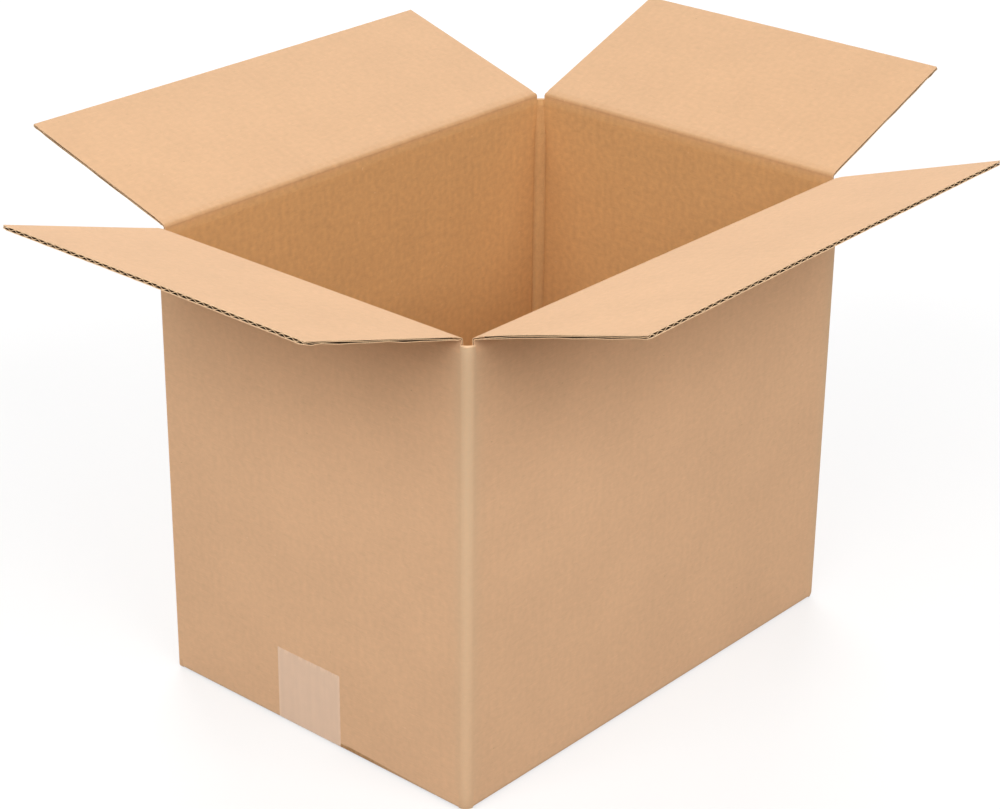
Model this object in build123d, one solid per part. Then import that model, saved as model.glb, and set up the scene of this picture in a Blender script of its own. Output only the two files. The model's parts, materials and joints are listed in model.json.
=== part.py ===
from build123d import *
import math
import os
from typing import NamedTuple

# A slotted shipping box of single wall corrugated board, taped shut below and open on top.
# Lengths are in millimetres and angles in degrees. The origin is the middle of the base on the
# floor, X runs along the long walls, Y along the short walls and Z up.

# Corrugated board: two flat liners with a fluted medium between them
CALIPER = 2.9
LINER = 0.35
MEDIUM = 0.35
FLUTE_PITCH = 6.05
# half width of a flute tunnel at its liner and at the medium's crest, of the flute pitch
TUNNEL_SHARES = (0.364, 0.058)

# Box, measured outside
LENGTH = 320.0
WIDTH = 228.0
# crease lines of the top flaps over the floor
SCORE_HEIGHT = 272.5

# Upright folds: outer round, inner bevel, and the line pressed along each side of the bevel
CORNER_RADIUS = 3.0
BEVEL_LEG = 4.6
SCORE_WIDTH = 1.2
SCORE_DEPTH = 0.45
# the corner that is rubbed away above the floor
WORN_CORNER = 3.0

# Glued lap of the long wall inside the short wall, its board pressed thinner
LAP_WIDTH = 35.0
LAP_CALIPER = 2.3
LAP_SLANT = 9.0

# Top flaps: crushed board each side of a crease, rounded crease edge, and room to turn and close
CRUSH = 7.0
CREASE_NOSE = 0.25
CREASE_ROOM = 0.5
FLAP_TIP = 0.12
FLAP_SIDE_ROOM = 0.3
LID_GAP = 3.0
LAYER_ROOM = 0.15
# slots between flaps: half their width, from the outside of the next wall, and how far they end
# below the crease lines
SLOT_INSET = 5.7
SLOT_DROP = 1.5

# Closed base: outer round of its long folds and the gap where its two outer flaps meet
BASE_RADIUS = 3.4
SEAM_GAP = 1.5

# Clear tape along the base seam and up both short walls
TAPE_WIDTH = 48.0
TAPE_CALIPER = 0.06
TAPE_ADHESIVE = 0.02
TAPE_TURN_UP = 47.0
# it was stuck on a little to one side of the seam
TAPE_SHIFT = 3.4

# How far each top flap leans out from upright as it stands open
END_FRONT_LEAN_ANGLE = 73.5
SIDE_FRONT_LEAN_ANGLE = 71.2
SIDE_REAR_LEAN_ANGLE = 73.2
END_REAR_LEAN_ANGLE = 69.3

# one overrun serves all cuts
OVERRUN = 1.0

UP = Vector(0, 0, 1)
QUARTER_TURN = 90

half_length = LENGTH / 2
half_width = WIDTH / 2
half_caliper = CALIPER / 2
# the board stands on its tape
floor = TAPE_CALIPER + TAPE_ADHESIVE
inner_layer = floor + CALIPER + LAYER_ROOM
# short walls end in a folded foot just off the floor
foot = floor + CALIPER / 3
base_top = inner_layer + 2 * CALIPER
crush_start = SCORE_HEIGHT - CRUSH
post_top = SCORE_HEIGHT - SLOT_DROP
# all flaps are as deep as the outer ones, which meet over the middle of the box
flap_reach = half_width - half_caliper - LID_GAP / 2
# outer flaps turn this much above their crease line and inner flaps this much below it, so that
# closed flaps lie one on the other
crease_shift = (CALIPER + LAYER_ROOM) / 4


class Side(NamedTuple):
    """A wall with its flaps: outward direction, distance out, length, layer and lean of its top flap."""

    facing: Vector
    reach: float
    span: float
    outer: bool
    lean: float

    @property
    def slotted_span(self):
        return self.span - 2 * SLOT_INSET

    @property
    def axis_height(self):
        return SCORE_HEIGHT + (crease_shift if self.outer else -crease_shift)

    @property
    def section_plane(self):
        """Plane across the wall: x outward from the outer face, y up from the floor."""
        return Plane(self.facing * self.reach, x_dir=self.facing, z_dir=self.facing.cross(UP))

    def along(self, section, length):
        return extrude(self.section_plane * section, amount=length / 2, both=True)


SIDES = {
    "flap_end_front": Side(Vector(-1, 0, 0), half_length, WIDTH, False, END_FRONT_LEAN_ANGLE),
    "flap_side_front": Side(Vector(0, -1, 0), half_width, LENGTH, True, SIDE_FRONT_LEAN_ANGLE),
    "flap_side_rear": Side(Vector(0, 1, 0), half_width, LENGTH, True, SIDE_REAR_LEAN_ANGLE),
    "flap_end_rear": Side(Vector(1, 0, 0), half_length, WIDTH, False, END_REAR_LEAN_ANGLE),
}


def outline(*edges):
    """Face inside a closed run of edges, each starting where the last one ends."""
    return make_face(Curve() + list(edges))


def box_between(x0, x1, y0, y1):
    return Polygon((x0, y0), (x1, y0), (x1, y1), (x0, y1), align=None)


def fold_points(corner, before, after):
    """Inside of an upright fold: a bevel between two pressed lines, walked from one wall to the next."""
    half_score = SCORE_WIDTH / 2
    slope = (before + after).normalized()
    start, end = corner - before * BEVEL_LEG, corner + after * BEVEL_LEG
    into_before, into_after = before.cross(UP), after.cross(UP)
    return [
        start - before * half_score,
        start + into_before * SCORE_DEPTH,
        start + slope * half_score,
        end - slope * half_score,
        end + into_after * SCORE_DEPTH,
        end + after * half_score,
    ]


def wall_plan():
    """Plan of the walls: three folds and, at the fourth corner, the lap glued inside the short wall."""
    r, lap_face = CORNER_RADIUS, CALIPER - half_length
    x_plus, y_plus = half_length - r, half_width - r
    outer = outline(
        Line((-x_plus, -half_width), (x_plus, -half_width)),
        CenterArc((x_plus, -y_plus), r, -QUARTER_TURN, QUARTER_TURN),
        Line((half_length, -y_plus), (half_length, y_plus)),
        CenterArc((x_plus, y_plus), r, 0, QUARTER_TURN),
        Line((x_plus, half_width), (lap_face + r, half_width)),
        CenterArc((lap_face + r, y_plus), r, QUARTER_TURN, QUARTER_TURN),
        Polyline((lap_face, y_plus), (-half_length, y_plus), (-half_length, -y_plus)),
        CenterArc((-x_plus, -y_plus), r, 2 * QUARTER_TURN, QUARTER_TURN),
    )
    east, north = Vector(1, 0, 0), Vector(0, 1, 0)
    x_in, y_in = half_length - CALIPER, half_width - CALIPER
    lap_inner, lap_end = lap_face + LAP_CALIPER, half_width - LAP_WIDTH
    inner = (
        fold_points(Vector(x_in, -y_in, 0), east, north)
        + fold_points(Vector(x_in, y_in, 0), north, -east)
        + fold_points(Vector(lap_inner, y_in, 0), -east, -north)
        + [Vector(lap_inner, lap_end, 0), Vector(lap_face, lap_end, 0)]
        + fold_points(Vector(-x_in, -y_in, 0), -north, east)
    )
    return outer - make_face(Polyline(*inner, close=True))


def top_crease(side):
    """Crushed top edge of a wall, drawn in to the rounded line that its flap turns on."""
    axis, nose = side.axis_height, CREASE_NOSE
    left, right = (-half_caliper - nose, axis), (-half_caliper + nose, axis)
    return outline(
        Line((-CALIPER, crush_start), left),
        ThreePointArc(left, (-half_caliper, axis + nose), right),
        Polyline(right, (0, crush_start), (-CALIPER, crush_start)),
    )


def base_fold(side):
    """Foot of a wall with its closed base flap: outer flaps on the floor, inner flaps lying on them."""
    bevel = half_caliper
    if side.outer:
        bottom, depth = floor, half_width - SEAM_GAP / 2
        start = (0, floor + BASE_RADIUS)
        end = (-BASE_RADIUS, floor)
        turn = CenterArc((-BASE_RADIUS, floor + BASE_RADIUS), BASE_RADIUS, 0, -QUARTER_TURN)
    else:
        bottom, depth = inner_layer, half_width - SEAM_GAP / 2
        start = (0, foot + half_caliper)
        end = (-CALIPER, foot + half_caliper)
        turn = CenterArc((-half_caliper, foot + half_caliper), half_caliper, 0, -2 * QUARTER_TURN)
    top = bottom + CALIPER
    corner = [(-CALIPER, bottom)] if not side.outer else []
    return outline(
        Line((0, base_top), start),
        turn,
        Polyline(
            end,
            *corner,
            (-depth, bottom),
            (-depth, top),
            (-CALIPER - bevel, top),
            (-CALIPER, top + bevel),
            (-CALIPER, base_top),
            (0, base_top),
        ),
    )


def lap_end_cuts():
    """Slanted ends of the glued lap, above and below."""
    lap_face = CALIPER - half_length
    near, far = half_width - SLOT_INSET, half_width - LAP_WIDTH - OVERRUN
    depth = LAP_CALIPER + BEVEL_LEG + SCORE_WIDTH
    plane = Plane((lap_face, 0, 0), x_dir=(0, 1, 0), z_dir=(1, 0, 0))
    ends = ((crush_start, -LAP_SLANT), (base_top, LAP_SLANT))
    cuts = [Polygon((near, z), (far, z), (far, z + slant), align=None) for z, slant in ends]
    return [extrude(plane * cut, amount=depth, dir=plane.z_dir) for cut in cuts]


def box_body():
    """One folded sheet: four walls, the glued lap and the four base flaps."""
    walls = Pos(0, 0, foot) * extrude(wall_plan(), amount=post_top - foot)
    inward = CALIPER + LAP_CALIPER + BEVEL_LEG + SCORE_WIDTH + OVERRUN
    top_cut = box_between(-inward, OVERRUN, crush_start, post_top + OVERRUN)
    base_cut = box_between(-inward, OVERRUN, foot - OVERRUN, base_top)
    worn = Polygon(
        (half_length - SLOT_INSET, foot),
        (half_length + OVERRUN, foot),
        (half_length + OVERRUN, foot + WORN_CORNER),
        align=None,
    )
    worn_plane = Plane((0, -half_width - OVERRUN, 0), x_dir=(1, 0, 0), z_dir=(0, -1, 0))
    cuts = [extrude(worn_plane * worn, amount=-SLOT_INSET - OVERRUN)]
    folds = []
    for side in SIDES.values():
        cuts += [side.along(cut, side.slotted_span) for cut in (top_cut, base_cut)]
        folds += [side.along(fold, side.slotted_span) for fold in (top_crease(side), base_fold(side))]
    return walls - (cuts + lap_end_cuts()) + folds


def flute_tunnels(width):
    """Tunnels on both sides of the fluted medium, in pairs across the width of a board."""
    waves = max(1, round(width / FLUTE_PITCH))
    pitch = width / waves
    wide, narrow = (share * pitch for share in TUNNEL_SHARES)
    liner_side, medium_side = half_caliper - LINER, half_caliper - LINER - MEDIUM
    upper = Polygon(
        (-wide, liner_side), (wide, liner_side), (narrow, -medium_side), (-narrow, -medium_side), align=None
    )
    lower = mirror(upper, about=Plane.XZ)
    starts = [index * pitch - width / 2 for index in range(waves + 1)]
    return [Pos(x) * upper for x in starts] + [Pos(x + pitch / 2) * lower for x in starts[:-1]]


def flap(side):
    """Top flap as it stands open: fluted board with its crushed edge at the crease."""
    lean = math.radians(side.lean)
    out = UP * math.cos(lean) + side.facing * math.sin(lean)
    face = UP * math.sin(lean) - side.facing * math.cos(lean)
    axis = side.facing * (side.reach - half_caliper) + UP * side.axis_height
    middle = -crease_shift if side.outer else crease_shift
    width = side.slotted_span - 2 * FLAP_SIDE_ROOM

    section = Rectangle(width, CALIPER) - flute_tunnels(width)
    board_plane = Plane(axis + out * CRUSH + face * middle, x_dir=face.cross(out), z_dir=out)
    board = extrude(board_plane * section, amount=flap_reach - CRUSH)

    root = CREASE_NOSE + CREASE_ROOM
    edge = Polygon(
        (root, -FLAP_TIP / 2),
        (root, FLAP_TIP / 2),
        (CRUSH, middle + half_caliper),
        (CRUSH, middle - half_caliper),
        align=None,
    )
    edge_plane = Plane(axis, x_dir=out, z_dir=out.cross(face))
    return board + extrude(edge_plane * edge, amount=width / 2, both=True)


def tape_half(offset):
    """Run of tape at an offset from the board, from its end on the front short wall to the mid seam."""
    radius = half_caliper + offset
    centre = Vector(half_caliper - half_length, foot + half_caliper)
    flap_end = Vector(SLOT_INSET - half_length, floor)
    to_end = flap_end - centre
    turn = math.degrees(math.atan2(to_end.Y, to_end.X) - math.acos(half_caliper / to_end.length))
    sweep = turn + 2 * QUARTER_TURN
    leave = Vector(math.cos(math.radians(turn)), math.sin(math.radians(turn)))
    low = floor - offset
    # the straight stretch from the foot down to the flap's edge, carried on to the level run below
    start = centre + leave * radius
    along = Vector(-leave.Y, leave.X)
    bend = start + along * ((low - start.Y) / along.Y)
    return [
        Line((-half_length - offset, TAPE_TURN_UP), (-half_length - offset, centre.Y)),
        CenterArc((centre.X, centre.Y), radius, -2 * QUARTER_TURN, sweep),
        Polyline((start.X, start.Y), (bend.X, bend.Y), (0, low)),
    ]


def bottom_tape():
    """Clear tape strip: pressed along the base seam, round both feet and up the short walls."""
    inside, outside = tape_half(TAPE_ADHESIVE), tape_half(TAPE_ADHESIVE + TAPE_CALIPER)
    ends = [
        Line((-half_length - TAPE_ADHESIVE - TAPE_CALIPER, TAPE_TURN_UP), (-half_length - TAPE_ADHESIVE, TAPE_TURN_UP)),
        Line((0, floor - TAPE_ADHESIVE - TAPE_CALIPER), (0, floor - TAPE_ADHESIVE)),
    ]
    half = extrude(Plane.XZ * outline(*inside, *outside, *ends), amount=TAPE_WIDTH / 2, both=True)
    return Pos(0, TAPE_SHIFT) * (half + mirror(half, about=Plane.YZ))


os.makedirs("parts", exist_ok=True)
pieces = {"box_body": box_body(), "bottom_tape": bottom_tape()}
pieces |= {name: flap(side) for name, side in SIDES.items()}
for name, piece in pieces.items():
    export_step(piece, f"parts/{name}.step")
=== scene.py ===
import json
import math
from typing import NamedTuple

import bmesh
import bpy
import numpy as np
from bpy.props import FloatProperty, FloatVectorProperty, PointerProperty
from bpy.types import Operator, Panel, PropertyGroup
from mathutils import Matrix, Vector


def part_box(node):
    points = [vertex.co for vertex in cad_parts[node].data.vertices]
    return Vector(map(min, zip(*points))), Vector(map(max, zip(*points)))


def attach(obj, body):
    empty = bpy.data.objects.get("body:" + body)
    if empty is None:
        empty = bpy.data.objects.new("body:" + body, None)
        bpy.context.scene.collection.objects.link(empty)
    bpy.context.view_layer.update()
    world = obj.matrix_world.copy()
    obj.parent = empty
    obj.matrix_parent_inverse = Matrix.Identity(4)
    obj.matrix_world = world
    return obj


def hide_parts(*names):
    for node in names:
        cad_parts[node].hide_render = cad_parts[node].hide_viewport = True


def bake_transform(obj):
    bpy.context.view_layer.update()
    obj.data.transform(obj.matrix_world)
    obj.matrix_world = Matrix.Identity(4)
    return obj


bl_info = {
    "name": "Open Cardboard Box",
    "version": (1, 0, 0),
    "blender": (4, 5, 0),
    "location": "3D View > Sidebar > Box",
    "description": "Builds an open slotted box of corrugated board around its packed model",
    "category": "Object",
}

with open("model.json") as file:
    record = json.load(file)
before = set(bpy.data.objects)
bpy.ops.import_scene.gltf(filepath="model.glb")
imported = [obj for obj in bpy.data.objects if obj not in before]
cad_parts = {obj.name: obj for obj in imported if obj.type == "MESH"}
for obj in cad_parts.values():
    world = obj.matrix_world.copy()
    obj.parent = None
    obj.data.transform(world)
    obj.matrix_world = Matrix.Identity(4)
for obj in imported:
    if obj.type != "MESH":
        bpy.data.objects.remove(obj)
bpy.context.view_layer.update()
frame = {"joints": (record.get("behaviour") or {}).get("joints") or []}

BODY_LOW, BODY_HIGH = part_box("box_body")
TAPE_LOW, TAPE_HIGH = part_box("bottom_tape")
BOX = "box"
UP = np.array((0.0, 0.0, 1.0))
MM = 0.001
QUARTER = math.pi / 2
# The flaps in the order in which the flat sheet goes round the box, and how each bends out of its plane: a
# bow of its middle and a bend of one corner, inward. Inner flaps bend only inward and outer flaps only
# outward, so that they lie on one another when shut.
FLAP_BENDS = {
    "flap_end_front": (0.5 * MM, 0.4 * MM),
    "flap_side_front": (0.0, -4.6 * MM),
    "flap_end_rear": (0.6 * MM, 0.5 * MM),
    "flap_side_rear": (-0.4 * MM, 0.0),
}
# half the length of the longest bend, and the distance from the crease at which a flap is fully bent
BEND_HALF, BEND_REACH = 155 * MM, 130 * MM
# heights over which the inside of an upright fold opens above the base and closes below the crush
FOLD_RISE, FOLD_END = 20 * MM, 24 * MM
# how far an upright fold is rubbed pale, partly as a painted highlight, to each side of its middle, and its
# pressed share between its two lines
FOLD_RUB_AND_HIGHLIGHT, FOLD_TONE = 7 * MM, 0.45
# heights of the first rows of the walls over the base, and of the last rows below the crush
LOW_ROWS = np.array((0, 4, 9, 15, 22)) * MM
HIGH_ROWS = np.array((26, 18, 11, 5, 0)) * MM
# places of a grid near an edge: distances from a cut edge, and shares of half a wall from an upright fold
CUT_STEPS = np.array((0.0, 0.4, 0.9, 1.6, 2.5, 3.6, 5.0, 7.0)) * MM
FOLD_SHARES = (0.002, 0.004, 0.008, 0.016, 0.03, 0.05, 0.08, 0.12)
# gap that keeps the post at the sheet's raw edge apart from its slot
RAW_GAP = 0.05 * MM
# height of the drawn-in end of a post at the floor
FOOT_END = 1.2 * MM
# painted shade on a foot beside the tape, standing for the dark gap under it: where it starts along the wall,
# and how far it grows and goes on
FOOT_SHADE_START, FOOT_SHADE_RISE, FOOT_SHADE_REACH = 19.5 * MM, 3 * MM, 80 * MM
# where the base flaps' boards start on the flat sheet, and the cut-off corner below an inner base flap's fold
BASE_SHEET, BASE_CORNER = -20 * MM, 0.25 * MM
# teeth of the tape's torn ends
TOOTH, TOOTH_PITCH = 0.25 * MM, 1.6 * MM
# distance before and after a crease's line over which it turns, and its unevenness
CREASE_TURN, CREASE_DRIFT = 1.3 * MM, 0.06 * MM
# how far the crests of the medium go into the liners
MEDIUM_BITE = 0.01 * MM
# first seeds of the uneven shapes
BASE_SEED, FLAP_SEED, CREASE_SEED, TAPE_SEED = 40, 100, 200, 31
# points that lie closer than this are one point
WELD = 0.002 * MM
WHITE = (1.0, 1.0, 1.0, 1.0)
# size of the softboxes, and the height over the floor that they face
LAMP_SIZE, LAMP_AIM = (2.0, 1.3), 0.15
# half the floor's width, and how far it lies below the tape
FLOOR_HALF, FLOOR_DROP = 15.0, 0.05 * MM
# how far a cut edge is laid out off its border, along and across the flat sheet, to each length of its depth
EDGE_SLANT = 0.7
# where the inside liner's pattern lies beside the outside liner's
INSIDE_SHIFT = np.array((7.3, 3.1))
FLAT_MAP = "Flat sheet"
# shares painted on the paper: rubbed pale, partly a painted highlight on the upright folds and the tape's
# edges; pressed dark, partly painted shade in the pressed grooves and wholly painted shade under the feet
RUBBED, PRESSED = "rubbed", "pressed"
# material slots of the board, and the layers of a cut edge: shares of its thickness and their slots
OUTSIDE, INSIDE, CUT, MEDIUM = range(4)
PLAIN_EDGE = ((0.0, 1.0), (CUT,))
CRUSHED_EDGE = ((0.0, 0.28, 0.72, 1.0), (CUT, MEDIUM, CUT))


def length(name, description, default):
    return FloatProperty(
        name=name, description=description, default=default, min=0.0, unit="LENGTH", precision=5
    )


def angle(name, description, degrees):
    return FloatProperty(name=name, description=description, default=math.radians(degrees), subtype="ANGLE")


def power(name, description, default):
    return FloatProperty(name=name, description=description, default=default, min=0.0, unit="POWER")


def strength(name, description, default):
    return FloatProperty(name=name, description=description, default=default, min=0.0)


def spot(name, description, default):
    return FloatVectorProperty(
        name=name, description=description, default=default, size=3, subtype="TRANSLATION", unit="LENGTH"
    )


def colour(name, description, default):
    return FloatVectorProperty(
        name=name, description=description, default=default, size=3, min=0.0, max=1.0, subtype="COLOR"
    )


class BoardSizes(PropertyGroup):
    """Sizes of the board, its folds and its tape."""

    caliper: length("Caliper", "Thickness of the board", 0.0029)
    liner: length("Liner", "Thickness of each flat liner", 0.00035)
    medium: length("Medium", "Thickness of the fluted medium", 0.00030)
    pitch: length("Flute pitch", "Distance from one flute to the next", 0.00605)
    fold_radius: length("Fold radius", "Outer round of the upright folds", 0.0053)
    raw_inset: length("Raw edge inset", "How far the sheet's raw edge stays short of the glued corner", 0.003)
    bevel: length("Fold bevel", "Leg of the bevel inside an upright fold", 0.0046)
    bead: length("Fold bead", "Swelling of the bevel inside an upright fold", 0.00025)
    score_width: length("Score width", "Width of the line pressed along a fold", 0.0019)
    score_depth: length("Score depth", "Depth of the line pressed along a fold", 0.00028)
    worn: length("Worn corner", "Height of the corner that is rubbed away above the floor", 0.0027)
    slot_inset: length("Slot inset", "Half width of the slots, from the outside of the next wall", 0.0057)
    slot_drop: length("Slot drop", "How far the slots end below the crease lines", 0.0030)
    crush: length("Crush", "Crushed board each side of a crease", 0.007)
    neck: length("Crease thickness", "Thickness of the board pressed flat in a crease", 0.0012)
    bend: length("Crease bend", "Middle radius of the board where it turns at a crease", 0.0010)
    ripple: length("Ripple", "Height of the crushed flutes beside a crease", 0.00009)
    side_room: length("Side room", "How much narrower a flap is than its crease, each side", 0.0003)
    lid_gap: length("Lid gap", "Gap between the closed outer flaps", 0.003)
    layer_room: length("Layer room", "Room between two flaps that lie one on the other", 0.00015)
    lap: length("Lap", "Width of the glued lap", 0.035)
    lap_caliper: length("Lap caliper", "Thickness of the pressed lap", 0.0023)
    lap_slant: length("Lap slant", "Slant of the lap's ends", 0.009)
    base_radius: length("Base radius", "Outer round of the base's long folds", 0.0034)
    base_root: length("Base root", "Folded board at the root of a base flap", 0.012)
    seam_gap: length("Seam gap", "Gap between the outer base flaps", 0.0015)
    tape: length("Tape", "Thickness of the tape", 0.00006)
    adhesive: length("Adhesive", "Thickness of the tape's adhesive", 0.00002)
    cut_caliper: length("Cut caliper", "Thickness that the knife left at the free edge of a flap", 0.0023)
    slot_caliper: length("Slot caliper", "Thickness that the knife left along a slot", 0.0018)
    cut_crush: length("Cut crush", "Width of the board pressed thinner along a cut edge", 0.0035)
    burr: length("Burr", "Unevenness of a cut edge", 0.00012)
    recess: length("Recess", "How far the medium stays behind the liners at a cut edge", 0.00006)


class BoardColours(PropertyGroup):
    """Colours of the papers and of the tape."""

    outside: colour("Outside liner", "Kraft paper outside", (0.730, 0.460, 0.274))
    flap: colour("Flap liner", "Kraft paper on the inner faces of the flaps", (0.645, 0.394, 0.217))
    # painted shade: the inside liner below the creases is a darker, more saturated copy of the flap liner for
    # the shaded inside of the box
    inside: colour("Inside liner", "Kraft paper of the inside below the creases", (0.615, 0.345, 0.142))
    # the rubbed colour is partly real rubbing and partly a painted highlight along the upright folds; it also
    # paints the tape's edges paler as a painted highlight
    rubbed: colour("Rubbed paper", "Paper rubbed pale along the folds", (0.645, 0.459, 0.290))
    # the pressed colour is partly the paper's own darkening in pressed lines and partly painted shade in
    # their grooves; it also paints the shade under the feet
    pressed: colour("Pressed paper", "Paper darkened in a pressed line", (0.38, 0.195, 0.078))
    medium: colour("Medium", "Fluted paper inside the board", (0.20, 0.105, 0.05))
    cut: colour("Cut edge", "Cut edges of the liners", (0.80, 0.55, 0.335))
    fleck: colour("Dark flecks", "Dark fibres in the paper", (0.20, 0.105, 0.05))
    speck: colour("Pale flecks", "Pale fibres in the paper", (0.95, 0.72, 0.50))
    tape: colour("Tape", "Clear tape with its adhesive", (0.90, 0.655, 0.482))


class StudioSettings(PropertyGroup):
    """Camera, light and floor."""

    place: spot("Camera place", "Where the camera stands", (-1.01507, -0.88188, 0.7769))
    azimuth: angle("Azimuth", "Turn of the camera round the box", -48.86)
    elevation: angle("Elevation", "Angle that the camera looks down", 25.04)
    roll: angle("Roll", "Turn of the camera about its view", 0.57)
    lens: strength("Lens", "Focal length in millimetres on a 36 mm sensor", 92.87)
    low_sky: strength("Low sky", "Strength of the surroundings near the floor", 0.15)
    high_sky: strength("High sky", "Strength of the surroundings higher up", 0.34)
    left: power("Left light", "Power of the soft light on the left", 41.0)
    left_place: spot("Left place", "Where the left light stands", (-2.03, -0.22, 1.75))
    right: power("Right light", "Power of the soft light on the right", 38.5)
    right_place: spot("Right place", "Where the right light stands", (-0.22, -2.03, 1.75))
    back: power("Back light", "Power of the soft light behind", 46.0)
    back_place: spot("Back place", "Where the back light stands", (1.60, 1.65, 1.50))
    floor: colour("Floor", "Colour of the floor as the camera sees it", (0.92, 0.92, 0.92))
    bounce: colour("Floor bounce", "Colour of the light that the floor throws back", (0.38, 0.335, 0.285))


class Wall(NamedTuple):
    """A wall and its flap.

    It has directions outward and along the sheet, the distance of its outside from the middle, its length and
    thickness, the middle of its place on the flat sheet, its layer, and the height and lean of its flap.
    """

    name: str
    facing: np.ndarray
    travel: np.ndarray
    reach: float
    span: float
    caliper: float
    sheet: float
    outer: bool
    crease: float
    lean: float

    @property
    def out(self):
        return UP * math.cos(self.lean) + self.facing * math.sin(self.lean)

    @property
    def face(self):
        return UP * math.sin(self.lean) - self.facing * math.cos(self.lean)


class Sheet(NamedTuple):
    """One grid of a piece: points, flat-sheet coordinates, material slot, rubbed and pressed shares, which
    also carry painted highlight and painted shade.
    """

    points: np.ndarray
    flat: np.ndarray
    slot: int = 0
    rubbed: np.ndarray | float = 0.0
    pressed: np.ndarray | float = 0.0


# Surfaces


def smooth(x):
    """The step that starts and ends level: x squared times three less two x, for x kept from 0 to 1."""
    x = np.clip(x, 0.0, 1.0)
    return x * x * (3.0 - 2.0 * x)


def bell(x):
    """A bell of height 1 that has fallen to a third at x 1."""
    return np.exp(-np.square(x))


def drift(x, wavelength, seed, waves=7):
    """Slow unevenness from -1 to 1: a sum of sines of rising pitch with seeded phases."""
    rng = np.random.default_rng(seed)
    pitch = np.arange(1, waves + 1)[:, None] * math.tau / wavelength
    phase, share = rng.uniform(0, math.tau, (waves, 1)), rng.uniform(0.4, 1.0, (waves, 1))
    return np.sum(share * np.sin(pitch * x.ravel() + phase), axis=0).reshape(x.shape) / np.sum(share)


def heights(sizes):
    """Heights over the floor of the base's layers, the feet, the posts between the slots, and the creases."""
    joints = frame["joints"]
    crease = sum(joint["pos_m"][2] for joint in joints) / len(joints)
    floor = sizes.tape + sizes.adhesive
    layer = floor + sizes.caliper + sizes.layer_room
    return {
        "floor": floor,
        "layer": layer,
        "foot": floor + sizes.caliper / 3,
        "base_top": layer + 2 * sizes.caliper,
        "crush_start": crease - sizes.crush,
        "post_top": crease - sizes.slot_drop,
        "crease": crease,
    }


def box_walls(sizes):
    """The four walls in the order of the flat sheet, worked out from the joints of their flaps."""
    joints = {joint["child"]: joint for joint in frame["joints"]}
    level = heights(sizes)["crease"]
    spans = [BODY_HIGH.y - BODY_LOW.y, BODY_HIGH.x - BODY_LOW.x] * 2
    walls, sheet = [], 0.0
    for name, span in zip(FLAP_BENDS, spans):
        place = np.array(joints[name]["pos_m"])
        middle = np.linalg.norm(place[:2])
        facing = np.array((place[0], place[1], 0.0)) / middle
        lean = math.radians(-joints[name]["range_deg"][0]) - QUARTER
        walls.append(
            Wall(
                name, facing, np.cross(UP, facing), middle + sizes.caliper / 2, span, sizes.caliper,
                sheet + span / 2, place[2] > level, place[2], lean,
            )
        )
        sheet += span
    return walls


def cut_edge(front, back, flat, layers=PLAIN_EDGE):
    """Bands between two matching borders, one for each layer, laid out slanting off the border."""
    shares, slots = layers
    depth = np.linalg.norm(back - front, axis=-1)[:, None] * EDGE_SLANT
    lines = [(front + (back - front) * share, flat + depth * share) for share in shares]
    return [
        Sheet(np.stack([near, far]), np.stack([near_flat, far_flat]), slot)
        for (near, near_flat), (far, far_flat), slot in zip(lines, lines[1:], slots)
    ]


def closed_board(front, back, flat, slots=(OUTSIDE, INSIDE), layers=PLAIN_EDGE, rubbed=0.0, pressed=0.0):
    """Board between two matching grids: its faces, and cut edges round the four borders of the grids."""
    borders = [(slice(None), 0), (slice(None), -1), (0, slice(None)), (-1, slice(None))]
    sheets = [
        Sheet(front, flat, slots[0], rubbed, pressed),
        Sheet(back, flat + INSIDE_SHIFT, slots[1], rubbed, pressed),
    ]
    return sheets + [band for b in borders for band in cut_edge(front[b], back[b], flat[b], layers)]


def grid_cells(rows, columns, start):
    """Numbers of the corners of each cell of a grid whose points are numbered row by row."""
    index = start + np.arange(rows * columns).reshape(rows, columns)
    corners = (index[:-1, :-1], index[:-1, 1:], index[1:, 1:], index[1:, :-1])
    return np.stack(corners, axis=-1).reshape(-1, 4)


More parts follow.
